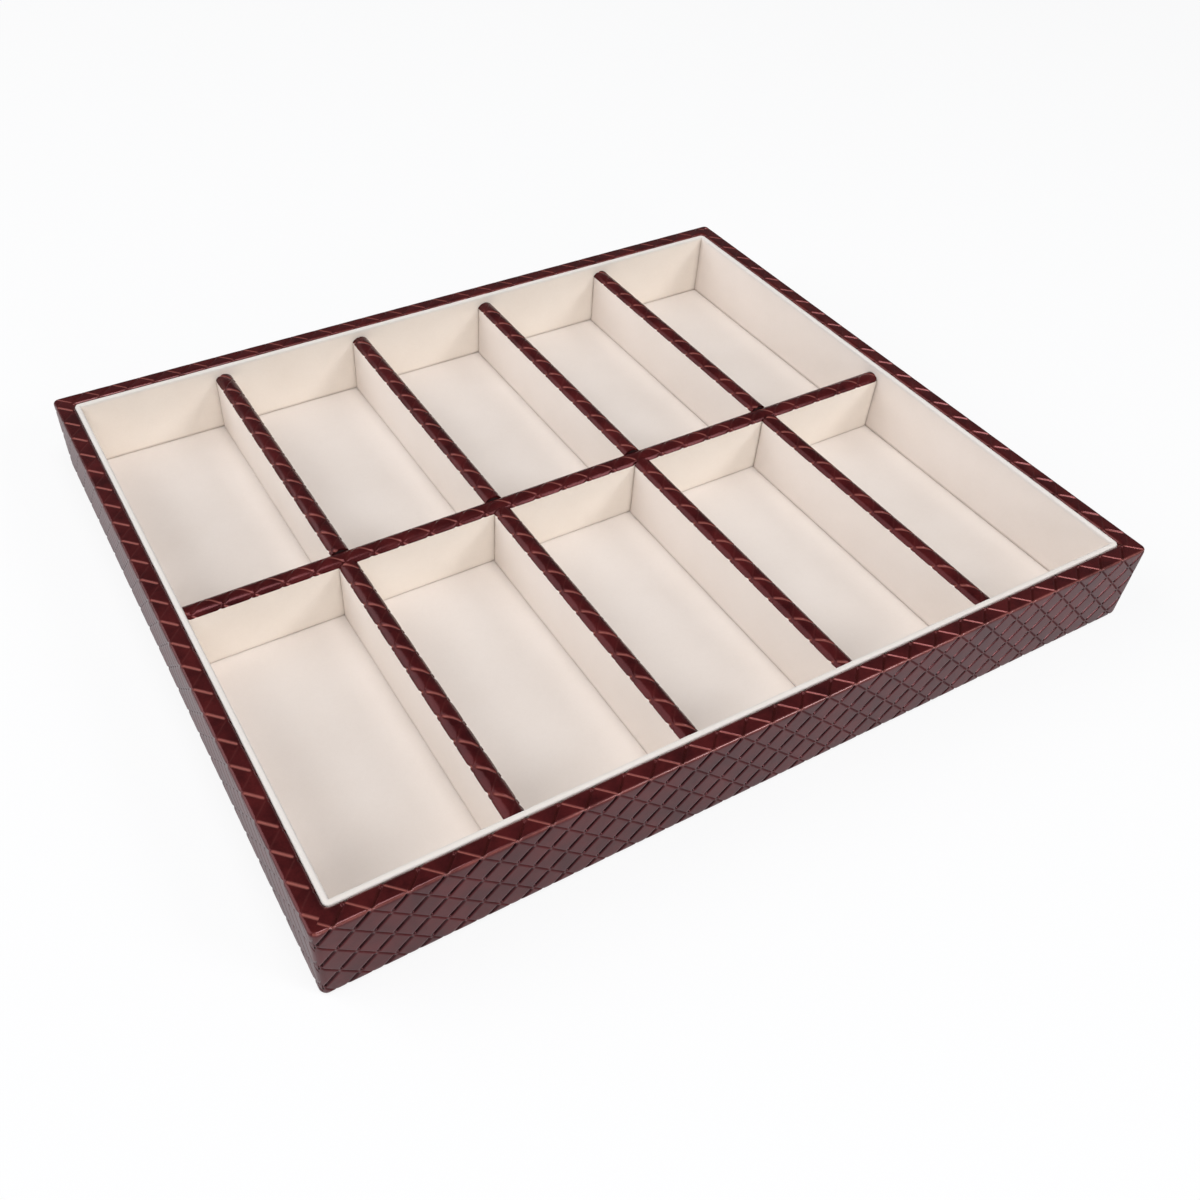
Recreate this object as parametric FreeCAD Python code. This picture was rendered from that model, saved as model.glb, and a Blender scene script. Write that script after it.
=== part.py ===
# Open jewelry tray with two rows of compartments, wrapped in leatherette and lined with velvet.
# Millimetres. The origin is the centre of the underside, +X runs along the front, +Y to the back, +Z up.
import FreeCAD, Part
import os

# Driving dimensions: the whole tray
tray_length = 330.0
tray_width = 279.0
tray_height = 34.5
columns = 5

# Driving dimensions: sheets and boards
leather = 0.8
wall_board = 5.4
liner_card = 1.4
velvet = 0.8
base_board = 2.8
divider_board = 5.6

# Driving dimensions: folds, corners and rebates
corner_radius = 2.5
bottom_radius = 2.5
rim_outer_radius = 1.2
rim_inner_radius = 1.6
opening_radius = 2.2
velvet_edge_radius = 0.7
turn_under = 8.0
turn_down = 12.0
rebate = 2.7

# Driving dimensions: how far tops stand below the rim, and the crown of the divider caps
liner_drop = 0.3
divider_drop = 3.6
cap_crown = 2.1

# Clearances
felt_proud = 0.2
felt_gap = 0.3
board_gap = 0.1
butt_gap = 0.15

# Levels
leather_low = felt_proud
board_low = leather_low + leather
base_top = board_low + base_board
floor_top = base_top + velvet
rim_top = tray_height
board_top = rim_top - leather
liner_top = rim_top - liner_drop
card_top = liner_top - velvet
divider_top = rim_top - divider_drop
cap_low = divider_top - cap_crown
shell_middle = tray_height / 2

# Insets from the outer face of the tray
board_inner = leather + wall_board
rim_inner = board_inner + leather
card_inner = rim_inner + liner_card
lining_face = card_inner + velvet

# Dividers
divider_thick = divider_board + 2 * velvet
inner_half_length = tray_length / 2 - lining_face
inner_half_width = tray_width / 2 - lining_face
compartment = (2 * inner_half_length - (columns - 1) * divider_thick) / columns
divider_pitch = compartment + divider_thick

os.makedirs("parts", exist_ok=True)


def save(name, shape):
    solids = shape.Solids
    if len(solids) != 1 or not shape.isValid():
        raise ValueError(f"{name}: {len(solids)} solids, valid {shape.isValid()}")
    solids[0].exportStep(f"parts/{name}.step")


def block(inset, low, high):
    """Box centred on the tray, pulled in from its outer faces by inset."""
    length = tray_length - 2 * inset
    width = tray_width - 2 * inset
    corner = FreeCAD.Vector(-length / 2, -width / 2, low)
    return Part.makeBox(length, width, high - low, corner)


def upright_edges(shape, steepness=0.99):
    return [edge for edge in shape.Edges if abs(edge.tangentAt(edge.FirstParameter).z) > steepness]


def edges_at(shape, level):
    return [edge for edge in shape.Edges if is_level(edge, level)]


def is_level(edge, level, tolerance=1e-4):
    box = edge.BoundBox
    return abs(box.ZMin - level) < tolerance and abs(box.ZMax - level) < tolerance


def rounded_block(inset, low, high, upright_radius):
    shape = block(inset, low, high)
    return shape.makeFillet(upright_radius, upright_edges(shape))


def tray_body(inset):
    """The tray's outer form, offset inwards: rounded corners, lower edges and rim edge."""
    shape = rounded_block(inset, leather_low + inset, rim_top - inset, corner_radius - inset)
    shape = shape.makeFillet(bottom_radius - inset, edges_at(shape, leather_low + inset))
    return shape.makeFillet(rim_outer_radius - inset, edges_at(shape, rim_top - inset))


def mitre_wedges():
    """One prism per side, cut at 45 degrees through the corners of the tray."""
    x, y = tray_length / 2, tray_width / 2
    reach = 2 * lining_face
    corners = {
        "front": [(-x, -y), (x, -y), (x - reach, -y + reach), (-x + reach, -y + reach)],
        "back": [(x, y), (-x, y), (-x + reach, y - reach), (x - reach, y - reach)],
        "left": [(-x, y), (-x, -y), (-x + reach, -y + reach), (-x + reach, y - reach)],
        "right": [(x, -y), (x, y), (x - reach, y - reach), (x - reach, -y + reach)],
    }
    wedges = {}
    for side, outline in corners.items():
        points = [FreeCAD.Vector(px, py, 0) for px, py in outline]
        face = Part.Face(Part.makePolygon(points + points[:1]))
        wedges[side] = face.extrude(FreeCAD.Vector(0, 0, tray_height))
    return wedges


def save_sides(name, ring):
    for side, wedge in mitre_wedges().items():
        save(f"{name}_{side}", ring.common(wedge).removeSplitter())


# Base
def make_base():
    save("base_board", block(board_inner - rebate + board_gap, board_low, base_top))
    save("bottom_cover", rounded_block(turn_under + felt_gap, 0, board_low, corner_radius))
    save("floor_velvet", block(board_inner + board_gap, base_top, floor_top))


# Sides: boards, leatherette, liner card and liner velvet
def make_wall_boards():
    ring = tray_body(leather).cut(block(board_inner, 0, rim_top))
    ring = ring.cut(block(board_inner - rebate, 0, base_top))
    save_sides("wall_board", ring)


def make_leather_wraps():
    skin = tray_body(0).cut(tray_body(leather))
    skin = skin.cut(rounded_block(rim_inner, shell_middle, rim_top + leather, opening_radius))
    skin = skin.cut(block(turn_under, 0, shell_middle))
    lap = block(board_inner, rim_top - turn_down, board_top)
    lap = lap.cut(rounded_block(rim_inner, 0, rim_top, opening_radius))
    skin = skin.fuse(lap).removeSplitter()
    inner_rim = [edge for edge in edges_at(skin, rim_top) if is_inside(edge, rim_inner)]
    save_sides("leather_wrap", skin.makeFillet(rim_inner_radius, inner_rim))


def is_inside(edge, inset, tolerance=1e-3):
    box = edge.BoundBox
    reach_x = max(abs(box.XMin), abs(box.XMax))
    reach_y = max(abs(box.YMin), abs(box.YMax))
    return reach_x < tray_length / 2 - inset + tolerance and reach_y < tray_width / 2 - inset + tolerance


def make_liners():
    outside = rounded_block(rim_inner, floor_top, liner_top, opening_radius)
    inside = block(lining_face, 0, rim_top)
    card = rounded_block(rim_inner, floor_top, card_top, opening_radius).cut(block(card_inner, 0, rim_top))
    save_sides("liner_card", card)
    lining = outside.cut(inside).cut(card)
    lining = lining.makeFillet(velvet_edge_radius, edges_at(lining, liner_top))
    save_sides("liner_velvet", lining)


# Dividers
def arch(half_width, low, top):
    """Upper outline of a divider: a circular crown over its full thickness."""
    left = FreeCAD.Vector(-half_width, 0, low)
    right = FreeCAD.Vector(half_width, 0, low)
    return Part.Arc(left, FreeCAD.Vector(0, 0, top), right).toShape()


def profile_face(edges):
    return Part.Face(Part.Wire(Part.__sortEdges__(edges)))


def polyline(points):
    places = [FreeCAD.Vector(x, 0, z) for x, z in points]
    return [Part.makeLine(start, end) for start, end in zip(places, places[1:])]


def crown_inner_half():
    """Half width of the board under the leatherette, where the cap's lower edge meets it."""
    crown_radius = ((divider_thick / 2) ** 2 + cap_crown ** 2) / (2 * cap_crown)
    centre = divider_top - crown_radius
    return ((crown_radius - leather) ** 2 - (cap_low - centre) ** 2) ** 0.5


def divider_faces():
    """Sections of one divider across its thickness, centred on x = 0."""
    outer = divider_thick / 2
    core = divider_board / 2
    crown = crown_inner_half()
    crown_top = divider_top - leather
    board_sides = [(crown, cap_low), (core, cap_low), (core, floor_top)]
    board_sides += [(-core, floor_top), (-core, cap_low), (-crown, cap_low)]
    board = profile_face(polyline(board_sides) + [arch(crown, cap_low, crown_top)])
    cap_edges = [arch(outer, cap_low, divider_top), arch(crown, cap_low, crown_top)]
    cap_edges += polyline([(-outer, cap_low), (-crown, cap_low)])
    cap_edges += polyline([(crown, cap_low), (outer, cap_low)])
    sheet = [(core, floor_top), (outer, floor_top), (outer, cap_low), (core, cap_low), (core, floor_top)]
    right = profile_face(polyline(sheet))
    left = right.mirror(FreeCAD.Vector(0, 0, 0), FreeCAD.Vector(1, 0, 0))
    return {"board": board, "cap": profile_face(cap_edges), "left": left, "right": right}


def divider_solid(face, length):
    """Section run along +Y, starting at y = 0."""
    return face.extrude(FreeCAD.Vector(0, length, 0))


def make_cross_divider(faces):
    length = 2 * (inner_half_length - butt_gap)
    names = {"board": "board", "cap": "cap", "left": "velvet_back", "right": "velvet_front"}
    for key, label in names.items():
        solid = divider_solid(faces[key], length)
        solid.rotate(FreeCAD.Vector(0, 0, 0), FreeCAD.Vector(0, 0, 1), -90)
        solid.translate(FreeCAD.Vector(-length / 2, 0, 0))
        save(f"cross_divider_{label}", solid)


def make_short_dividers(faces):
    near = divider_thick / 2 + butt_gap
    length = inner_half_width - butt_gap - near
    starts = {"front": -near - length, "back": near}
    names = {"board": "board", "cap": "cap", "left": "velvet_left", "right": "velvet_right"}
    for row, start in starts.items():
        for number in range(1, columns):
            centre = -inner_half_length + number * divider_pitch - divider_thick / 2
            for key, label in names.items():
                solid = divider_solid(faces[key], length)
                solid.translate(FreeCAD.Vector(centre, start, 0))
                save(f"divider_{row}_{number}_{label}", solid)


make_base()
make_wall_boards()
make_leather_wraps()
make_liners()
sections = divider_faces()
make_cross_divider(sections)
make_short_dividers(sections)
depth = inner_half_width - divider_thick / 2
print(f"compartment {compartment:.2f} x {depth:.2f} x {rim_top - floor_top:.2f} mm")
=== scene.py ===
import bpy
import bmesh
import math
from mathutils import Matrix, Vector


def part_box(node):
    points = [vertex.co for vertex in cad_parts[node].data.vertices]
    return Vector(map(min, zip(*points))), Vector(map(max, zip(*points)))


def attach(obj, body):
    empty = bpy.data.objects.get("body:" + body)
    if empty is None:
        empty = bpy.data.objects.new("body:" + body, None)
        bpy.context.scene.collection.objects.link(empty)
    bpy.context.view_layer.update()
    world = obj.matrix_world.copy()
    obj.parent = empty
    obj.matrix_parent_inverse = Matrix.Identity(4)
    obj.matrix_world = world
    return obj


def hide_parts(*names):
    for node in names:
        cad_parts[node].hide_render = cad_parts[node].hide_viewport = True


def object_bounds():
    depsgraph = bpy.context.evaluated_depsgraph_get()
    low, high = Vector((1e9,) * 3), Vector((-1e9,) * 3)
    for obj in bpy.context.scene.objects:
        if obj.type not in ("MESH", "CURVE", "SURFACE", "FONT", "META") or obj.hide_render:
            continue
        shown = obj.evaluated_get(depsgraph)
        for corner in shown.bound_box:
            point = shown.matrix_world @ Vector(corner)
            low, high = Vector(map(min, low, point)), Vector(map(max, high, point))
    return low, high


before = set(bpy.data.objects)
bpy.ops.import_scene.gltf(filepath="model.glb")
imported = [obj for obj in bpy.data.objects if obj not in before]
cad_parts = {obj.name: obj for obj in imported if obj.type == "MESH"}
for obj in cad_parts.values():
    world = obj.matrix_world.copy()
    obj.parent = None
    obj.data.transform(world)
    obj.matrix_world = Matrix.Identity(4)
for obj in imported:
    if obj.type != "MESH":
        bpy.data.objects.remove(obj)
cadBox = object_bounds()
mm = 0.001
hair = 0.01 * mm                               # too small to see
up = Vector((0, 0, 1))


# Where the tray's faces lie, read from the frame. Insets are measured from its outer face.
wrapLow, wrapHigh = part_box("leather_wrap_front")
linerLow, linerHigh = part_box("liner_velvet_front")
tray = dict(
    halfLength=cadBox[1].x,
    halfWidth=cadBox[1].y,
    low=wrapLow.z,
    rimTop=wrapHigh.z,
    turnUnder=wrapHigh.y - wrapLow.y,
    rimInset=linerLow.y - wrapLow.y,
    liningInset=linerHigh.y - wrapLow.y,
    linerTop=linerHigh.z,
    floorTop=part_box("floor_velvet")[1].z,
)
# Middle of each outer face, direction along it seen from outside, direction inwards, half its length
sides = {
    "front": (Vector((0, -tray["halfWidth"], 0)), Vector((1, 0, 0)), Vector((0, 1, 0)), tray["halfLength"]),
    "right": (Vector((tray["halfLength"], 0, 0)), Vector((0, 1, 0)), Vector((-1, 0, 0)), tray["halfWidth"]),
    "back": (Vector((0, tray["halfWidth"], 0)), Vector((-1, 0, 0)), Vector((0, -1, 0)), tray["halfLength"]),
    "left": (Vector((-tray["halfLength"], 0, 0)), Vector((0, -1, 0)), Vector((1, 0, 0)), tray["halfWidth"]),
}
print("tray read from the frame")


# Node trees
class Wire:                                    # an output socket that can be reckoned with
    def __init__(self, net, socket):
        self.net, self.socket = net, socket

    def maths(self, operation, first, second):
        return self.net.node("ShaderNodeMath", {"operation": operation}, {0: first, 1: second})

    def __add__(self, other):
        return self.maths("ADD", self, other)

    def __radd__(self, other):
        return self.maths("ADD", other, self)

    def __sub__(self, other):
        return self.maths("SUBTRACT", self, other)

    def __rsub__(self, other):
        return self.maths("SUBTRACT", other, self)

    def __mul__(self, other):
        return self.maths("MULTIPLY", self, other)

    def __rmul__(self, other):
        return self.maths("MULTIPLY", other, self)

    def __truediv__(self, other):
        return self.maths("DIVIDE", self, other)

    def __rtruediv__(self, other):
        return self.maths("DIVIDE", other, self)


class Net:                                     # a shader or geometry tree
    def __init__(self, tree):
        self.tree = tree

    def node(self, kind, settings=None, sockets=None, output=0):
        node = self.tree.nodes.new(kind)
        for key, value in (settings or {}).items():
            setattr(node, key, value)
        for key, value in (sockets or {}).items():
            if isinstance(value, Wire):
                self.tree.links.new(value.socket, node.inputs[key])
            else:
                node.inputs[key].default_value = value
        return Wire(self, node.outputs[output]) if len(node.outputs) else node

    def largest(self, first, second):
        return self.node("ShaderNodeMath", {"operation": "MAXIMUM"}, {0: first, 1: second})

    def axis(self, vector, name):
        return self.node("ShaderNodeSeparateXYZ", None, {0: vector}, output=name)

    def place(self):
        return self.node("ShaderNodeTexCoord", output="Object")

    def attribute(self, name):                 # a vector that the mesh carries
        return self.node("ShaderNodeAttribute", {"attribute_name": name}, output="Vector")

    def mixColour(self, factor, first, second):
        return self.node("ShaderNodeMix", {"data_type": "RGBA"}, {0: factor, 6: first, 7: second}, output=2)

    def noise(self, place, scale, detail=2.0, roughness=0.5):
        sockets = {"Vector": place, "Scale": scale, "Detail": detail, "Roughness": roughness}
        return self.node("ShaderNodeTexNoise", None, sockets)

    def bump(self, height, strength, distance):
        sockets = {"Strength": strength, "Distance": distance, "Height": height}
        return self.node("ShaderNodeBump", None, sockets)

    def spread(self, value, fromLow, fromHigh, toLow=0.0, toHigh=1.0, steps="LINEAR"):
        sockets = {0: value, 1: fromLow, 2: fromHigh, 3: toLow, 4: toHigh}
        return self.node("ShaderNodeMapRange", {"interpolation_type": steps}, sockets)


def geometryNet(name, numbers):                # tree whose inputs are a sheet, these numbers and a finish
    tree = bpy.data.node_groups.new(name, "GeometryNodeTree")
    tree.interface.new_socket("Geometry", in_out="INPUT", socket_type="NodeSocketGeometry")
    for label in numbers:
        tree.interface.new_socket(label, in_out="INPUT", socket_type="NodeSocketFloat")
    tree.interface.new_socket("finish", in_out="INPUT", socket_type="NodeSocketMaterial")
    tree.interface.new_socket("Geometry", in_out="OUTPUT", socket_type="NodeSocketGeometry")
    net = Net(tree)
    start = tree.nodes.new("NodeGroupInput")
    return net, {socket.name: Wire(net, socket) for socket in start.outputs if socket.name}


def raiseSurface(net, given, height, sheet):   # moves the sheet along its normals, then closes the tree
    normal = net.node("GeometryNodeInputNormal")
    offset = net.node("ShaderNodeVectorMath", {"operation": "SCALE"}, {0: normal, "Scale": height})
    sheet = net.node("GeometryNodeSetPosition", None, {"Geometry": sheet, "Offset": offset})
    sheet = net.node("GeometryNodeRealizeInstances", None, {"Geometry": sheet})
    sheet = net.node("GeometryNodeSetMaterial", None, {"Geometry": sheet, "Material": given["finish"]})
    net.node("NodeGroupOutput", None, {"Geometry": sheet})


def finishNet(name):
    material = bpy.data.materials.new(name)
    material.use_nodes = True
    material.node_tree.nodes.clear()
    return material, Net(material.node_tree)


def closeFinish(net, sockets):
    shader = net.node("ShaderNodeBsdfPrincipled", None, sockets)
    net.node("ShaderNodeOutputMaterial", None, {"Surface": shader})


# Leatherette: the diamond quilting as geometry, and its finish
quilt = dict(
    pitch=11.5 * mm,                           # along the tray's edges, corner to corner of a diamond
    risingWidth=1.50 * mm,                     # pressed strokes that rise to the right
    risingDepth=0.78 * mm,
    fallingWidth=0.85 * mm,                    # and those that fall to the right
    fallingDepth=0.32 * mm,
    inkLip=0.16,                               # share of a rising stroke's depth from which its painted shade is full
    paintedGlint=(0.9, 0.06),                        # painted glint: how far strokes along and against its run are paler
    glintFade=0.3 * mm,                          # how soon the painted glint fades at its end
    gapStart=0.30 * mm,                        # from a crossing, where a stroke begins
    gapEnd=1.05 * mm,                          # and where it is at full depth
    pillow=0.03 * mm,                          # how far a diamond swells
    shoulder=2.2 * mm,                         # from a stroke to the flat of the diamond
    strokeLines=(-1.8, -1.0, -0.7, -0.35, 0.0, 0.35, 0.7, 1.0, 1.8),   # mesh lines across, in half widths
    tileLines=1,                               # mesh lines across a diamond between two strokes
    thickness=0.8 * mm,
)
quiltInputs = (
    "pitch",
    "rising width",
    "rising depth",
    "falling width",
    "falling depth",
    "gap start",
    "gap end",
    "pillow",
    "shoulder",
    "ink",
    "ink lip",
    "rising glint",
    "falling glint",
    "glint end",
    "glint fade",
    "first crossing",
)


def quiltTree():
    net, given = geometryNet("diamondQuilt", quiltInputs)
    flat = net.node("GeometryNodeInputNamedAttribute", {"data_type": "FLOAT_VECTOR"}, {"Name": "flat"})
    along = net.axis(flat, "X") - given["first crossing"]
    across = net.axis(flat, "Y")
    distances = []                             # to the nearest rising and falling line
    for diagonal in (along - across, along + across):
        share = net.node("ShaderNodeMath", {"operation": "PINGPONG"}, {0: diagonal / given["pitch"], 1: 0.5})
        distances.append(share * given["pitch"] / math.sqrt(2))
    strokes = []
    for kind, own, other in (("rising", 0, 1), ("falling", 1, 0)):
        body = net.spread(distances[own], 0.0, given[kind + " width"] / 2, 1.0, 0.0, "SMOOTHSTEP")
        ends = net.spread(distances[other], given["gap start"], given["gap end"], steps="SMOOTHSTEP")
        strokes.append(body * ends)
    swells = [net.spread(distance, 0.0, given["shoulder"], steps="SMOOTHSTEP") for distance in distances]
    pressed = strokes[0] * given["rising depth"] + strokes[1] * given["falling depth"]
    # painted glint on the strokes, fading past its end on the rim
    paintedGlint = net.largest(strokes[0] * given["rising glint"], strokes[1] * given["falling glint"])
    paintedGlint = paintedGlint * net.spread(across, given["glint end"], given["glint end"] + given["glint fade"], 1.0, 0.0)
    # painted shade in the rising strokes
    risingStrokeShade = net.spread(strokes[0], 0.0, given["ink lip"], 0.0, given["ink"])
    # the stroke attribute holds the painted shade, the falling strokes and the painted glint
    marks = net.node("ShaderNodeCombineXYZ", None, {0: risingStrokeShade, 1: strokes[1], 2: paintedGlint})
    settings = {"data_type": "FLOAT_VECTOR", "domain": "POINT"}
    sockets = {"Geometry": given["Geometry"], "Name": "stroke", "Value": marks}
    stored = net.node("GeometryNodeStoreNamedAttribute", settings, sockets)
    raiseSurface(net, given, swells[0] * swells[1] * given["pillow"] - pressed, stored)
    return net.tree


leatherLook = dict(
    colour=(0.070, 0.0088, 0.0092, 1),
    dark=(0.031, 0.0038, 0.0044, 1),
    cloud=dict(scale=110.0, detail=4.0, roughness=0.6),
    grain=dict(scale=1700.0, detail=3.0, roughness=0.6),
    grainTone=0.25,                            # weight of the grain beside the clouds
    toneRange=(0.45, 0.8),
    worn=(0.260, 0.078, 0.065, 1),             # wear and painted highlight on the folds, in patches that follow the clouds
    wornAndHighlightRange=(0.35, 0.65),
    wornAndHighlightShare=(0.4, 0.95),
    paintedGlint=(0.280, 0.088, 0.074, 1),           # painted glint on the strokes of the rim and the caps
    paintedGlintFull=0.7,                            # share of a stroke's depth from which its painted glint is whole
    ink=(0.008, 0.0008, 0.0014, 1),            # painted shade: dark colour in the strokes of the walls
    # strength of the painted shade in rising and falling strokes
    risingShade=0.95,
    fallingShade=0.14,
    fallingFull=0.4,                           # share of a falling stroke's depth from which it shows in full
    shine=0.12,                                # the rising strokes are pressed smooth
    matte=0.36,                                # and the falling ones matte
    wallEnd=(-1.2 * mm, 0.3 * mm),             # at the fold, the painted shade and matte of the walls give way to the rim's painted glint
    roughness=0.27,
    grainRoughness=0.08,
    cloudRoughness=0.06,
    polish=0.11,                               # handling has smoothed the rim and the caps
    bump=dict(strength=0.40, distance=0.05 * mm),
    foldCoat=0.7,                              # lacquer that shines on the folds, most at the front
    glossLevel=dict(leatherette=0.64, capLeatherette=0.40),   # stretching has dulled the caps
    lacquer={"IOR": 1.42, "Coat Roughness": 0.18, "Specular Tint": (1.0, 0.40, 0.43, 1)},    # red glints
)


def leatherFinish(name):
    look = leatherLook
    material, net = finishNet(name)
    flat, stroke, place = net.attribute("flat"), net.attribute("stroke"), net.place()
    fold = net.axis(flat, "Z")
    risingStrokeShade, falling, paintedGlint = (net.axis(stroke, letter) for letter in "XYZ")
    wall = net.spread(net.axis(flat, "Y"), *look["wallEnd"], 1.0, 0.0)
    cloud = net.noise(place, **look["cloud"])
    grain = net.noise(place, **look["grain"])
    tone = net.spread(cloud + look["grainTone"] * grain, *look["toneRange"])
    colour = net.mixColour(tone, look["dark"], look["colour"])
    # wear and painted highlight along the folds
    patches = net.spread(cloud, *look["wornAndHighlightRange"], *look["wornAndHighlightShare"])
    colour = net.mixColour(fold * patches, colour, look["worn"])
    # painted glint on the strokes of the rim and the caps
    colour = net.mixColour((1 - wall) * net.spread(paintedGlint, 0.0, look["paintedGlintFull"]), colour, look["paintedGlint"])
    fallen = net.spread(falling, 0.0, look["fallingFull"])
    # painted shade in the strokes of the walls
    ink = net.largest(risingStrokeShade * look["risingShade"], fallen * look["fallingShade"])
    colour = net.mixColour(wall * ink, colour, look["ink"])
    rough = look["roughness"] + look["grainRoughness"] * grain + look["cloudRoughness"] * cloud
    rough = rough + wall * (fallen * look["matte"] - risingStrokeShade * look["shine"]) - look["polish"] * (1 - wall)
    closeFinish(net, {
        "Base Color": colour,
        "Roughness": rough,
        "Normal": net.bump(grain, **look["bump"]),
        "Coat Weight": fold * look["foldCoat"],
        "Specular IOR Level": look["glossLevel"][name],
        **look["lacquer"],
    })
    return material


# Velvet, felt and boards
napInputs = ("ripple size", "ripple height", "seed")


def napTree():
    net, given = geometryNet("napRipple", napInputs)
    place = net.node("GeometryNodeInputPosition")
    sockets = {"Vector": place, "W": given["seed"], "Scale": 1 / given["ripple size"], "Detail": 2.0}
    ripple = net.node("ShaderNodeTexNoise", {"noise_dimensions": "4D"}, sockets)
    raiseSurface(net, given, (ripple - 0.5) * given["ripple height"], given["Geometry"])
    return net.tree


velvetLook = dict(
    paleVelvet=dict(pale=(0.87, 0.80, 0.755, 1), deep=(0.83, 0.755, 0.70, 1)),    # painted light: brighter copy for faces turned along x
    laidVelvet=dict(pale=(0.81, 0.745, 0.70, 1), deep=(0.77, 0.70, 0.65, 1)),     # the floor's copy, facing up
    warmVelvet=dict(pale=(0.86, 0.79, 0.715, 1), deep=(0.815, 0.735, 0.655, 1)),  # painted light: brighter, warmer copy for faces turned along y
    lie=dict(scale=34.0, detail=3.0, roughness=0.55),         # pile pressed one way or the other
    pile=dict(scale=2300.0, detail=2.0, roughness=0.7),
    tuft=dict(scale=700.0, detail=2.0),
    pileTone=0.5,                              # weights of pile and tufts beside the lie
    tuftTone=0.25,
    toneRange=(0.55, 1.15),
    edge=(0.70, 0.67, 0.65, 1),                # greyer tone over the liners' top folds
    edgeShare=0.8,
    seam=(0.42, 0.35, 0.30, 1),                # painted shade where two sheets meet
    creaseShadeShare=0.7,
    roughness=0.9,
    pileRoughness=0.08,
    tuftHeight=0.6,                            # beside the height of the pile
    bump=dict(strength=0.30, distance=0.12 * mm),
    sheen={
        "Specular IOR Level": 0.2,
        "Sheen Weight": 0.25,
        "Sheen Roughness": 0.45,
        "Sheen Tint": (1.0, 0.97, 0.92, 1),
    },
)


def velvetFinish(name):
    look = velvetLook
    material, net = finishNet(name)
    place = net.place()
    lie, pile, tuft = (net.noise(place, **look[kind]) for kind in ("lie", "pile", "tuft"))
    tone = net.spread(lie + look["pileTone"] * pile + look["tuftTone"] * tuft, *look["toneRange"])
    colour = net.mixColour(tone, look[name]["deep"], look[name]["pale"])
    fold = net.axis(net.attribute("flat"), "Z")               # above 0 at a fold, below 0 at a seam where shade is painted
    colour = net.mixColour(net.spread(fold, 0.0, 1.0, 0.0, look["edgeShare"]), colour, look["edge"])
    # painted shade along seams and hems
    colour = net.mixColour(net.spread(fold, 0.0, -1.0, 0.0, look["creaseShadeShare"]), colour, look["seam"])
    closeFinish(net, {
        "Base Color": colour,
        "Roughness": look["roughness"] + look["pileRoughness"] * pile,
        "Normal": net.bump(pile + look["tuftHeight"] * tuft, **look["bump"]),
        **look["sheen"],
    })
    return material


feltLook = dict(
    pale=(0.060, 0.036, 0.030, 1),
    deep=(0.022, 0.012, 0.010, 1),
    matted=dict(scale=420.0, detail=5.0, roughness=0.75),
    fibre=dict(scale=2600.0, detail=3.0, roughness=0.7),
    fibreTone=0.4,                             # weight of the fibres beside the matting
    toneRange=(0.45, 0.95),
    roughness=0.88,
    fibreRoughness=0.1,
    bump=dict(strength=0.6, distance=0.2 * mm),
    sheen=0.2,
)


def feltFinish(name):
    look = feltLook
    material, net = finishNet(name)
    place = net.place()
    matted, fibre = net.noise(place, **look["matted"]), net.noise(place, **look["fibre"])
    tone = net.spread(matted + look["fibreTone"] * fibre, *look["toneRange"])
    closeFinish(net, {
        "Base Color": net.mixColour(tone, look["deep"], look["pale"]),
        "Roughness": look["roughness"] + look["fibreRoughness"] * fibre,
        "Normal": net.bump(matted + fibre, **look["bump"]),
        "Sheen Weight": look["sheen"],
    })
    return material


boardLook = dict(
    fibreboard=dict(pale=(0.42, 0.27, 0.15, 1), deep=(0.25, 0.145, 0.075, 1), fleck=900.0, stretch=(1, 1, 6)),
    card=dict(pale=(0.50, 0.46, 0.40, 1), deep=(0.36, 0.33, 0.28, 1), fleck=1500.0, stretch=(1, 1, 1)),
    chips=dict(detail=4.0, roughness=0.7),
    cloud=dict(scale=60.0, detail=2.0),
    cloudTone=0.4,                             # weight of the clouds beside the chips
    toneRange=(0.5, 0.95),
    roughness=0.75,
    chipRoughness=0.15,
    bump=dict(strength=0.3, distance=0.15 * mm),
    paint=(0.020, 0.0030, 0.0034, 1),          # on the board ends that meet the cross divider
    paintEnd=(4.6 * mm, 5.2 * mm),             # from the tray's middle, where the paint runs out
    paintFray=0.4 * mm,
)


def boardFinish(name):
    look, own = boardLook, boardLook[name]
    material, net = finishNet(name)
    place = net.place()
    pulled = net.node("ShaderNodeMapping", None, {"Vector": place, "Scale": own["stretch"]})
    chips = net.noise(pulled, own["fleck"], **look["chips"])
    cloud = net.noise(place, **look["cloud"])
    tone = net.spread(chips + look["cloudTone"] * cloud, *look["toneRange"])
    colour = net.mixColour(tone, own["deep"], own["pale"])
    depth = net.axis(place, "Y")
    depth = net.largest(depth, -1 * depth) + look["paintFray"] * chips
    colour = net.mixColour(net.spread(depth, *look["paintEnd"], 1.0, 0.0), colour, look["paint"])
    closeFinish(net, {
        "Base Color": colour,
        "Roughness": look["roughness"] + look["chipRoughness"] * chips,
        "Normal": net.bump(chips, **look["bump"]),
    })
    return material


finishes = dict(
    leatherette=leatherFinish("leatherette"),
    capLeatherette=leatherFinish("capLeatherette"),
    paleVelvet=velvetFinish("paleVelvet"),
    laidVelvet=velvetFinish("laidVelvet"),
    warmVelvet=velvetFinish("warmVelvet"),
    felt=feltFinish("felt"),
    fibreboard=boardFinish("fibreboard"),
    card=boardFinish("card"),
)
trees = dict(quilt=quiltTree(), nap=napTree())
print("finishes and geometry trees made")


# Folded sheets. A sheet is drawn flat, s along it and v across it, then carried onto its section.
sharpFrom = math.radians(70)                   # faces that meet at more than this keep a crisp edge


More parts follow.
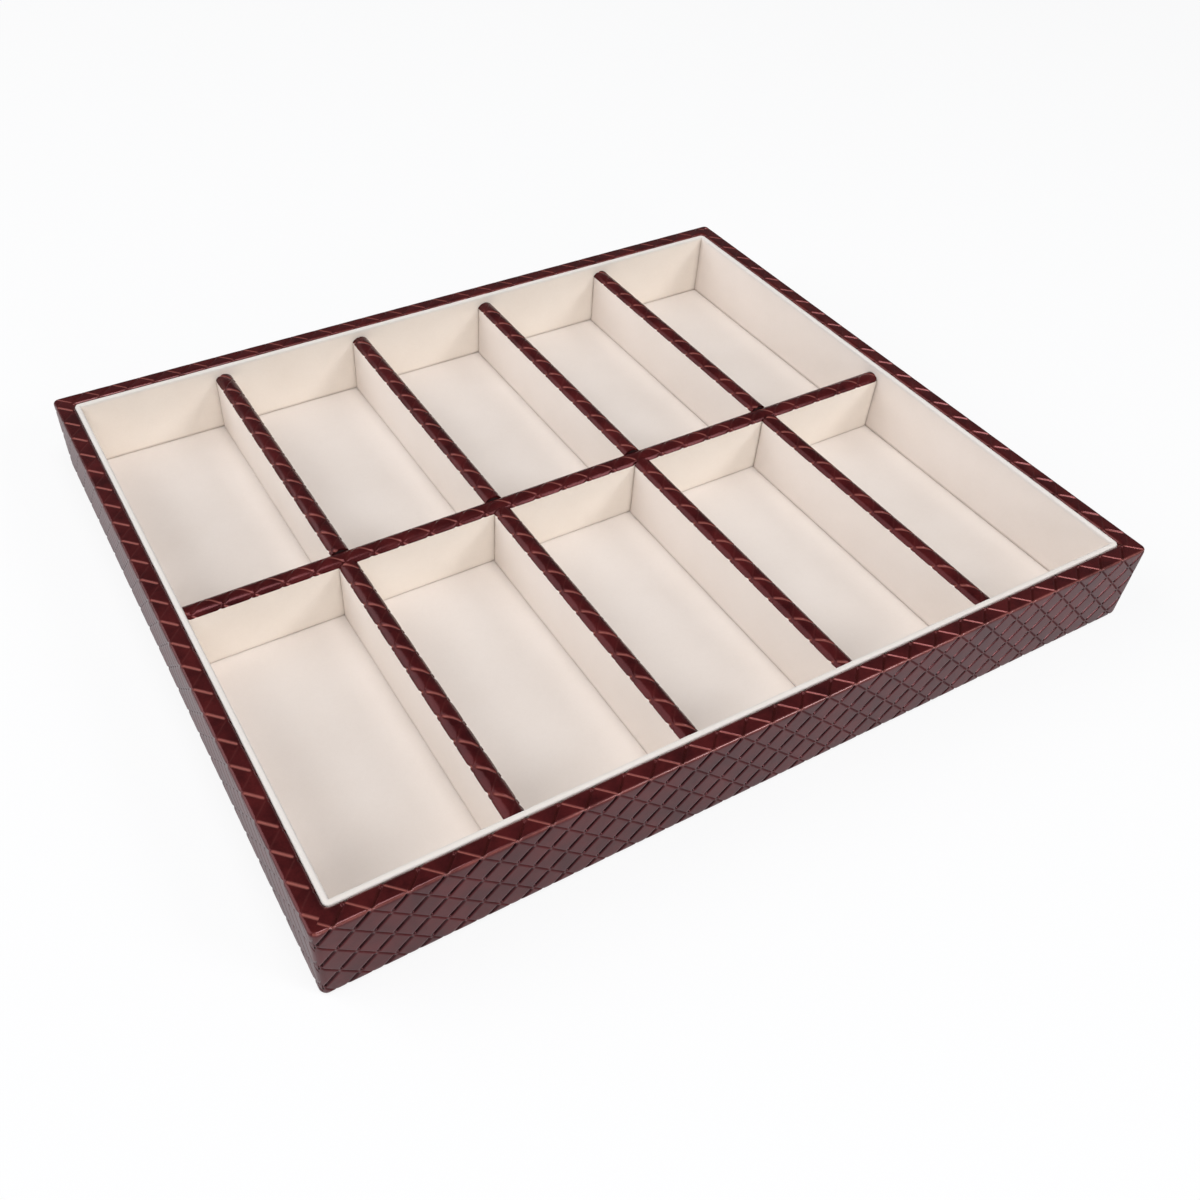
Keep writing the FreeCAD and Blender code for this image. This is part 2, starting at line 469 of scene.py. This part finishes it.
def foldPath(corners, radii, steps=6):         # section with rounded corners, with its length marks
    points, bends = [Vector(corners[0])], []
    for before, corner, after, radius in zip(corners, corners[1:], corners[2:], radii):
        corner = Vector(corner)
        back, onward = (Vector(before) - corner).normalized(), (Vector(after) - corner).normalized()
        half = back.angle(onward) / 2
        centre = corner + (back + onward).normalized() * radius / math.sin(half)
        start = corner + back * radius / math.tan(half) - centre
        turn = start.angle_signed(corner + onward * radius / math.tan(half) - centre)
        bends.append(len(points) + steps // 2)
        points += [centre + Matrix.Rotation(-turn * n / steps, 2) @ start for n in range(steps + 1)]
    return measuredPath(points + [Vector(corners[-1])], bends)


def archPath(halfWidth, low, top, steps=10):   # circular crown of a divider
    rise = top - low
    radius = (halfWidth ** 2 + rise ** 2) / (2 * rise)
    reach = math.asin(halfWidth / radius)
    turns = [reach * (2 * n / steps - 1) for n in range(steps + 1)]
    points = [Vector((radius * math.sin(turn), top - radius + radius * math.cos(turn))) for turn in turns]
    return measuredPath(points, [])


def measuredPath(points, bends):
    marks = [0.0]
    for first, second in zip(points, points[1:]):
        marks.append(marks[-1] + (second - first).length)
    return dict(points=points, marks=marks, bends=[marks[n] for n in bends])


def onPath(path, v):
    marks, points = path["marks"], path["points"]
    n = 1
    while n < len(marks) - 1 and marks[n] < v:
        n += 1
    share = (v - marks[n - 1]) / (marks[n] - marks[n - 1])
    return points[n - 1].lerp(points[n], share)


def evenLines(low, high, step):
    count = max(1, round((high - low) / step))
    return [low + (high - low) * n / count for n in range(count + 1)]


def plainSheet(halfLength, width, step):       # even grid
    bm = bmesh.new()
    rows = [[bm.verts.new((s, v, 0)) for s in evenLines(-halfLength, halfLength, step)]
            for v in evenLines(0, width, step)]
    for lower, upper in zip(rows, rows[1:]):
        for n in range(len(lower) - 1):
            bm.faces.new((lower[n], lower[n + 1], upper[n + 1], upper[n]))
    return bm


def quiltSheet(halfLength, width, crossing, foldLine):    # grid along both diagonals, denser at the strokes
    pitch, half = quilt["pitch"], max(quilt["risingWidth"], quilt["fallingWidth"]) / 2 * math.sqrt(2)
    edge = half * quilt["strokeLines"][-1]
    tile = [edge + (pitch - 2 * edge) * (n + 1) / (quilt["tileLines"] + 1) for n in range(quilt["tileLines"])]
    steps = sorted([line * half for line in quilt["strokeLines"]] + tile)

    def lines(low, high):
        first, last = math.floor(low / pitch), math.ceil(high / pitch)
        return [number * pitch + step for number in range(first, last + 1) for step in steps]

    left, right, low, high = -halfLength - crossing, halfLength - crossing, -foldLine, width - foldLine
    margin = pitch / 2
    bm, corners = bmesh.new(), {}
    sums, differences = lines(left + low, right + high), lines(left - high, right - low)    # of s and v
    for i, total in enumerate(sums):
        for j, difference in enumerate(differences):
            s, v = (total + difference) / 2, (total - difference) / 2
            if left - margin < s < right + margin and low - margin < v < high + margin:
                corners[i, j] = bm.verts.new((s + crossing, v + foldLine, 0))
    for i, j in list(corners):
        ring = [(i, j), (i + 1, j), (i + 1, j + 1), (i, j + 1)]
        if all(key in corners for key in ring):
            bm.faces.new([corners[key] for key in reversed(ring)])
    for spot, normal in (((-halfLength, 0, 0), (-1, 0, 0)), ((halfLength, 0, 0), (1, 0, 0)),
                         ((0, 0, 0), (0, -1, 0)), ((0, width, 0), (0, 1, 0))):
        cutSheet(bm, spot, normal, True)
    return bm


def cutSheet(bm, spot, normal, clear=False):
    whole = bm.verts[:] + bm.edges[:] + bm.faces[:]
    bmesh.ops.bisect_plane(bm, geom=whole, dist=hair, plane_co=spot, plane_no=normal, clear_outer=clear)


def linesFromEnds(bm, half, reaches):          # extra mesh lines at these distances from both ends
    for reach in reaches:
        for end in (-1, 1):
            cutSheet(bm, (end * (half - reach), 0, 0), (1, 0, 0))


def nearness(distance, reach):                 # 1 at a line, fading out beside it
    return math.exp(-(distance / reach) ** 2)


def carry(bm, path, face, foldLine=0.0, wearAndPaintedLightAt=None):     # onto its section, flat place kept, with the fold and seam marks: wear, painted highlight and painted shade
    middle, along, inward = face
    for mark in path["marks"][1:-1]:
        cutSheet(bm, (0, mark, 0), (0, 1, 0))
    layer = bm.verts.layers.float_vector.new("flat")
    for vert in bm.verts:
        s, v, sunk = vert.co
        vert[layer] = (s, v - foldLine, wearAndPaintedLightAt(s, v) if wearAndPaintedLightAt else 0.0)
        inset, height = onPath(path, v)
        vert.co = middle + along * s + inward * (inset + sunk) + up * height


def mitre(bm, side):                           # cuts both ends at 45 degrees through the tray's corners
    middle, along, inward, half = sides[side]
    cutSheet(bm, middle - along * half, inward - along, True)
    cutSheet(bm, middle + along * half, inward + along, True)


def roundCorner(reach, inset, radius):         # moves a point from the square outline to the round one
    swapped = reach < inset
    if swapped:
        reach, inset = inset, reach
    past = reach - inset
    if past < radius:
        turn = (1 - past / radius) * math.pi / 4
        reach = inset + radius * (1 - math.sin(turn))
        inset = inset + radius * (1 - math.cos(turn))
    return (inset, reach) if swapped else (reach, inset)


def roundSide(bm, side, radiusAt):
    middle, along, inward, half = sides[side]
    for vert in bm.verts:
        s, inset = (vert.co - middle).dot(along), (vert.co - middle).dot(inward)
        radius = radiusAt(inset)
        if radius > 0:
            reach, moved = roundCorner(half - abs(s), inset, radius)
            vert.co += along * (math.copysign(half - reach, s) - s) + inward * (moved - inset)


def meshFrom(bm, name):
    mesh = bpy.data.meshes.new(name)
    bm.to_mesh(mesh)
    bm.free()
    return mesh


def throughTree(name, mesh, tree, values):     # runs a geometry tree on the mesh and gives a plain mesh back
    carrier = bpy.data.objects.new(name, mesh)
    bpy.context.scene.collection.objects.link(carrier)
    modifier = carrier.modifiers.new("shape", "NODES")
    modifier.node_group = tree
    for item in tree.interface.items_tree:
        if item.in_out == "INPUT" and item.name in values:
            modifier[item.identifier] = values[item.name]
    depsgraph = bpy.context.evaluated_depsgraph_get()
    shaped = bpy.data.meshes.new_from_object(
        carrier.evaluated_get(depsgraph), preserve_all_data_layers=True, depsgraph=depsgraph)
    bpy.data.objects.remove(carrier)
    return shaped


def backed(face, base, thickness):             # closes a sheet with a back, one thickness behind its base
    bm = bmesh.new()
    bm.from_mesh(face)
    bm.verts.ensure_lookup_table()
    front, rim = bm.faces[:], [edge.link_loops[0] for edge in bm.edges if edge.is_boundary]
    twins = [bm.verts.new(plain.co - plain.normal * thickness, vert)
             for vert, plain in zip(bm.verts[:], base.vertices)]
    for part in front:
        bm.faces.new([twins[vert.index] for vert in reversed(part.verts)])
    for loop in rim:
        start, end = loop.vert, loop.link_loop_next.vert
        bm.faces.new((end, start, twins[start.index], twins[end.index]))
    bm.to_mesh(face)
    bm.free()
    face.shade_smooth()
    face.set_sharp_from_angle(angle=sharpFrom)


def pieceName(node):
    first, *rest = node.split("_")
    return first + "".join(word.capitalize() for word in rest)


def sheetArea(bm):
    return sum(face.calc_area() for face in bm.faces)


def setPiece(node, bm, tree, values, thickness):    # finished piece that stands for a node
    name = pieceName(node)
    base = meshFrom(bm, name + "Plain")
    mesh = throughTree(name + "Shape", base, trees[tree], values)
    backed(mesh, base, thickness)
    bpy.data.meshes.remove(base)
    mesh.name = name
    piece = bpy.data.objects.new(name, mesh)
    bpy.context.scene.collection.objects.link(piece)
    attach(piece, "root")
    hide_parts(node)
    return piece


def quiltValues(finish, crossing, along, glintEnd, press, rub):    # the painted glint runs one way on all pieces
    risingGlint, fallingGlint = quilt["paintedGlint"] if along.y else reversed(quilt["paintedGlint"])
    return {
        "pitch": quilt["pitch"],
        "rising width": quilt["risingWidth"],
        "rising depth": quilt["risingDepth"] * press,
        "falling width": quilt["fallingWidth"],
        "falling depth": quilt["fallingDepth"] * press,
        "gap start": quilt["gapStart"],
        "gap end": quilt["gapEnd"],
        "pillow": quilt["pillow"],
        "shoulder": quilt["shoulder"],
        "ink": press,
        "ink lip": quilt["inkLip"],
        "rising glint": risingGlint * rub,
        "falling glint": fallingGlint * rub,
        "glint end": glintEnd,
        "glint fade": quilt["glintFade"],
        "first crossing": crossing,
        "finish": finishes[finish],
    }


# Leatherette round the four sides
wrap = dict(
    cornerRadius=2.5 * mm,
    bottomRadius=2.5 * mm,
    rimRadius=1.2 * mm,
    innerRadius=1.6 * mm,
    foldWearAndHighlight=0.33 * mm,                        # how far the wear and painted highlight reach beside a fold
    wear=dict(front=1.0, right=0.4, back=0.5, left=0.1),      # wear and painted highlight on the folds, most at the front
    # strength of the painted glint on each side
    rub=dict(front=1.0, right=0.6, back=0.75, left=0.9),
    glintEnd=5.3 * mm,                           # from the fold, where the painted glint of the rim ends
    press=dict(front=1.0, right=0.7, back=0.7, left=0.35),    # depth of the strokes, and the painted shade they hold
    openingRadius=2.2 * mm,
    openingBand=2.0 * mm,                      # strip of the rim that follows the opening's round corners
    turnDown=12 * mm,                          # hidden lap behind the liner
    cornerLines=(0.25, 0.5, 0.75, 1.0),        # extra mesh lines at a rounded corner, in its radii
    crossing=dict(front=6.4 * mm, right=9.9 * mm, back=6.9 * mm, left=6.2 * mm),   # from each side's left end
)


def wrapCornerRadius(inset):                   # outer corner, then a square rim, then the opening's corner
    outer = wrap["cornerRadius"] - inset
    opening = wrap["openingRadius"] + tray["rimInset"] - inset
    share = min(max(1 - (tray["rimInset"] - inset) / wrap["openingBand"], 0), 1)
    return max(outer, share * opening, 0)


def makeWraps():
    low, top, inner = tray["low"], tray["rimTop"], tray["rimInset"]
    corners = [(tray["turnUnder"], low), (0, low), (0, top), (inner, top), (inner, top - wrap["turnDown"])]
    path = foldPath(corners, (wrap["bottomRadius"], wrap["rimRadius"], wrap["innerRadius"]))
    width, foldLine = path["marks"][-1], path["bends"][1]
    reaches = [reach for share in wrap["cornerLines"]
               for reach in (share * wrap["cornerRadius"], inner + share * wrap["openingRadius"])]

    for side, (middle, along, inward, half) in sides.items():
        crossing = wrap["crossing"][side] - half
        bm = quiltSheet(half, width, crossing, foldLine)
        linesFromEnds(bm, half, reaches)

        # wear and painted highlight along the folds of this side
        def foldWearAndHighlight(s, v):
            return wrap["wear"][side] * max(nearness(v - bend, wrap["foldWearAndHighlight"]) for bend in path["bends"])

        carry(bm, path, (middle, along, inward), foldLine, foldWearAndHighlight)
        mitre(bm, side)
        roundSide(bm, side, wrapCornerRadius)
        area = sheetArea(bm)
        node = "leather_wrap_" + side
        press, rub = wrap["press"][side], wrap["rub"][side]
        values = quiltValues("leatherette", crossing, along, wrap["glintEnd"], press, rub)
        piece = setPiece(node, bm, "quilt", values, quilt["thickness"])


makeWraps()
print("leatherette wraps made")


# Leatherette caps on the dividers
cap = dict(
    crossLine=-73.3 * mm,                      # a crossing on the cross divider's cap, in x
    shortLine=129.6 * mm,                      # a crossing on the first short cap, towards the front
    shortShift=3.7 * mm,                       # each short cap is cut from another place of the strip
    stripPlace=1.25,                           # diamonds from the fold to the middle of the strip
    press=0.45,                                # share of the depth that is left when the strip is stretched
    rub=0.7,                                   # and of the painted glint
    glintEnd=2.0,                                # strip widths from the fold to the end of the painted glint
)


def makeCap(node, along, across, crossing):
    low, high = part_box(node)
    centre, size = (low + high) / 2, high - low
    reach = abs(size.dot(along)) / 2
    path = archPath(abs(size.dot(across)) / 2, low.z, high.z)
    width = path["marks"][-1]
    foldLine = width / 2 - cap["stripPlace"] * quilt["pitch"]
    middle = Vector((centre.x, centre.y, 0))
    start = crossing - middle.dot(along)
    bm = quiltSheet(reach, width, start, foldLine)
    carry(bm, path, (middle, along, across), foldLine)
    values = quiltValues("capLeatherette", start, along, cap["glintEnd"] * width, cap["press"], cap["rub"])
    setPiece(node, bm, "quilt", values, quilt["thickness"])


shortDividers = [(row, number) for row in ("front", "back") for number in (1, 2, 3, 4)]
makeCap("cross_divider_cap", Vector((1, 0, 0)), Vector((0, 1, 0)), cap["crossLine"])
for count, (row, number) in enumerate(shortDividers):
    line = cap["shortLine"] + count * cap["shortShift"]
    makeCap(f"divider_{row}_{number}_cap", Vector((0, -1, 0)), Vector((1, 0, 0)), line)
print("divider caps made")


# Velvet on the liners, the dividers and the floor
velvet = dict(
    thickness=0.8 * mm,
    edgeRadius=0.7 * mm,
    hemRadius=0.6 * mm,                        # cut edges turn back to the board
    hemLines=(0.15, 0.4, 0.7, 1.0, 1.6),       # extra mesh lines at a hem, in its radii
    foldReach=1.1 * mm,                        # how far the fold tone reaches beside a fold
    creaseShadeReach=0.75 * mm,                       # and the painted shade beside a seam
    grid=2.0 * mm,
    floorGrid=3.0 * mm,
    rippleSize=14 * mm,
    rippleHeight=0.22 * mm,
    linerSeed=0,                               # first of four
    floorSeed=4,
    dividerSeed=5,                             # first of eighteen
)


def napValues(finish, seed, rippleHeight):
    return {
        "ripple size": velvet["rippleSize"],
        "ripple height": rippleHeight,
        "seed": float(seed),
        "finish": finishes[finish],
    }


def setVelvet(node, bm, finish, seed):
    values = napValues(finish, seed, velvet["rippleHeight"])
    return setPiece(node, bm, "nap", values, velvet["thickness"])


def linerCornerRadius(inset):
    return wrap["openingRadius"] + tray["rimInset"] - inset


def makeLiners():                              # over the card's top edge and down to the floor
    outer, face, top, floor = tray["rimInset"], tray["liningInset"], tray["linerTop"], tray["floorTop"]
    edge, hem, thickness = velvet["edgeRadius"], velvet["hemRadius"], velvet["thickness"]
    corners = [(outer, top - thickness), (outer, top), (face, top), (face, floor), (face - thickness, floor)]
    path = foldPath(corners, (edge, edge, hem), steps=4)
    width = path["marks"][-1]
    reaches = [outer + share * wrap["openingRadius"] for share in wrap["cornerLines"]]
    for count, (side, (middle, along, inward, half)) in enumerate(sides.items()):
        bm = plainSheet(half, width, velvet["grid"])
        linesFromEnds(bm, half, reaches)

        def linerFoldsAndShade(s, v):                   # fold tone on the top folds, painted shade at the hem and corners
            fold = max(nearness(v - bend, velvet["foldReach"]) for bend in path["bends"][:2])
            gaps = (v - path["bends"][2], half - face - abs(s))
            return fold - (1 - fold) * max(nearness(gap, velvet["creaseShadeReach"]) for gap in gaps)

        carry(bm, path, (middle, along, inward), 0.0, linerFoldsAndShade)
        mitre(bm, side)
        roundSide(bm, side, linerCornerRadius)
        area = sheetArea(bm)
        # painted light: liners along y and along x get brighter copies of the velvet
        finish = "warmVelvet" if inward.y else "paleVelvet"
        piece = setVelvet("liner_velvet_" + side, bm, finish, velvet["linerSeed"] + count)
        min(area, width * 2 * (half - outer))


def turnHems(bm, reach):                       # rounds the lower edge and both ends of a flat sheet backwards
    for vert in bm.verts:
        past = 1 - min(vert.co.y, reach - abs(vert.co.x)) / velvet["hemRadius"]
        if past > 0:
            vert.co.z = velvet["hemRadius"] * (1 - math.sqrt(max(1 - past ** 2, 0)))


def makeDividerVelvet(node, outward, board, seed):        # flat sheet on one face of a divider
    low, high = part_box(node)
    centre, size = (low + high) / 2, high - low
    along = up.cross(outward)
    reach, height = abs(size.dot(along)) / 2, size.z
    path = measuredPath([Vector((0, low.z)), Vector((0, high.z))], [])
    middle = Vector((centre.x, centre.y, 0)) + outward * velvet["thickness"] / 2
    bm = plainSheet(reach, height, velvet["grid"])
    for share in velvet["hemLines"]:
        hem = share * velvet["hemRadius"]
        cutSheet(bm, (0, hem, 0), (0, 1, 0))
        linesFromEnds(bm, reach, [hem])
    turnHems(bm, reach)

    # painted shade along the hem and both ends
    def hemShade(s, v):
        return -nearness(min(v, reach - abs(s)), velvet["creaseShadeReach"])

    carry(bm, path, (middle, along, -outward), 0.0, hemShade)
    # painted light: each face direction gets its own brighter copy of the velvet
    piece = setVelvet(node, bm, "warmVelvet" if outward.y else "paleVelvet", seed)
    2 * reach


def levelSheet(node, height, faceUp, cornerRadius):       # sheet lying at a height, and its flat size
    low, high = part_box(node)
    half, width = high.x, high.y - low.y
    bm = plainSheet(half, width, velvet["floorGrid"])
    for vert in bm.verts:
        reach, inset = half - abs(vert.co.x), width / 2 - abs(vert.co.y - width / 2)
        if cornerRadius > 0:
            reach, inset = roundCorner(reach, inset, max(cornerRadius - min(reach, inset), hair))
        x = math.copysign(half - reach, vert.co.x)
        y = math.copysign(width / 2 - inset, vert.co.y - width / 2)
        vert.co = (x, y if faceUp else -y, height)
    return bm, (width, 2 * half)


def makeFloorVelvet():
    bm, flat = levelSheet("floor_velvet", tray["floorTop"], True, 0)
    piece = setVelvet("floor_velvet", bm, "laidVelvet", velvet["floorSeed"])


makeLiners()
dividerFaces = [("cross_divider_", row, Vector((0, turn, 0))) for row, turn in (("front", -1), ("back", 1))]
dividerFaces += [(f"divider_{row}_{number}_", hand, Vector((turn, 0, 0)))
                 for row, number in shortDividers for hand, turn in (("left", -1), ("right", 1))]
for count, (stem, face, outward) in enumerate(dividerFaces):
    makeDividerVelvet(stem + "velvet_" + face, outward, stem + "board", velvet["dividerSeed"] + count)
makeFloorVelvet()
print("velvet made")


# Felt under the tray
felt = dict(
    thickness=0.9 * mm,
    rippleHeight=0.08 * mm,
    seed=30,
)


def makeBottomCover():
    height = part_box("bottom_cover")[0].z + felt["rippleHeight"] / 2      # the ripples stay above the table
    bm, flat = levelSheet("bottom_cover", height, False, wrap["cornerRadius"])
    values = napValues("felt", felt["seed"], felt["rippleHeight"])
    piece = setPiece("bottom_cover", bm, "nap", values, felt["thickness"])


makeBottomCover()
print("felt made")


# Boards and cards stay as built, with their finishes
def dressBoards():
    for name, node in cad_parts.items():
        finish = "card" if "card" in name else "fibreboard" if "board" in name else None
        if finish:
            node.data.materials.clear()
            node.data.materials.append(finishes[finish])


dressBoards()
print("boards dressed")


# Floor, light and camera
studio = dict(
    floorSize=8.0,
    floorColour=(0.86, 0.87, 0.90, 1),
    whiteShare=0.85,                           # of the floor as seen, the rest keeps the shadow
    mirroredShare=0.22,                        # the same for the floor seen in gloss
    world=(0.15, 0.15, 0.153, 1),
    backdrop=(0.97, 0.97, 0.97, 1),            # what is seen past the floor
    lamps=dict(                                # place, diameter, power
        over=((-0.05, -0.70, 2.00), 0.9, 20.0),
        front=((1.10, -1.62, 1.28), 0.75, 14.6),
        low=((-0.30, -2.16, 0.60), 0.5, 8.5),
        left=((-1.85, 0.85, 1.25), 2.6, 42.0),
    ),
)


def floorFinish():
    material, net = finishNet("studioFloor")
    seen = net.node("ShaderNodeLightPath", output="Is Camera Ray") * studio["whiteShare"]
    for ray in ("Is Glossy Ray", "Is Transmission Ray"):
        seen = net.largest(seen, net.node("ShaderNodeLightPath", output=ray) * studio["mirroredShare"])
    plain = net.node("ShaderNodeBsdfDiffuse", None, {"Color": studio["floorColour"]})
    white = net.node("ShaderNodeEmission", None, {"Color": (1, 1, 1, 1), "Strength": 1.0})
    surface = net.node("ShaderNodeMixShader", None, {0: seen, 1: plain, 2: white})
    net.node("ShaderNodeOutputMaterial", None, {"Surface": surface})
    return material


def makeStudioFloor():
    half = studio["floorSize"] / 2
    corners = [(-half, -half, 0), (half, -half, 0), (half, half, 0), (-half, half, 0)]
    mesh = bpy.data.meshes.new("studioFloor")
    mesh.from_pydata(corners, [], [(0, 1, 2, 3)])
    mesh.materials.append(floorFinish())
    floor = bpy.data.objects.new("studioFloor", mesh)
    bpy.context.scene.collection.objects.link(floor)


def makeLamp(name, spot, size, power):
    lamp = bpy.data.lights.new(name, "AREA")
    lamp.shape, lamp.size, lamp.energy = "DISK", size, power
    holder = bpy.data.objects.new(name, lamp)
    holder.location = spot
    holder.rotation_euler = (-Vector(spot)).to_track_quat("-Z", "Y").to_euler()
    bpy.context.scene.collection.objects.link(holder)


def makeWorld():
    world = bpy.data.worlds.new("studio")
    world.use_nodes = True
    world.node_tree.nodes.clear()
    net = Net(world.node_tree)
    seen = net.node("ShaderNodeLightPath", output="Is Camera Ray")
    colour = net.mixColour(seen, studio["world"], studio["backdrop"])
    light = net.node("ShaderNodeBackground", None, {"Color": colour})
    net.node("ShaderNodeOutputWorld", None, {"Surface": light})
    bpy.context.scene.world = world


camera = dict(
    eye=Vector((-199.7, -305.0, 322.8)) * mm,
    heading=30.58,                             # degrees from +Y towards +X
    tilt=44.93,                                # degrees below the horizon
    roll=1.70,
    focal=1183.5,                              # pixels of the photograph, as are the next two
    centre=(522.8, 604.9),
    imageSize=1200,
    sensor=36.0,
    clip=(0.01, 50.0),
)


def makeCamera():
    lens = bpy.data.cameras.new("camera")
    holder = bpy.data.objects.new("camera", lens)
    bpy.context.scene.collection.objects.link(holder)
    lens.sensor_width = camera["sensor"]
    lens.lens = camera["focal"] / camera["imageSize"] * camera["sensor"]
    lens.shift_x = 0.5 - camera["centre"][0] / camera["imageSize"]
    lens.shift_y = camera["centre"][1] / camera["imageSize"] - 0.5
    lens.clip_start, lens.clip_end = camera["clip"]
    turn = Matrix.Rotation(math.radians(-camera["heading"]), 4, "Z")
    turn = turn @ Matrix.Rotation(math.radians(90 - camera["tilt"]), 4, "X")
    turn = turn @ Matrix.Rotation(math.radians(camera["roll"]), 4, "Z")
    holder.matrix_world = Matrix.Translation(camera["eye"]) @ turn
    bpy.context.scene.camera = holder


makeStudioFloor()
for label, (spot, size, power) in studio["lamps"].items():
    makeLamp(label, spot, size, power)
makeWorld()
makeCamera()
bpy.context.scene.view_settings.view_transform = "Standard"
print("studio set")
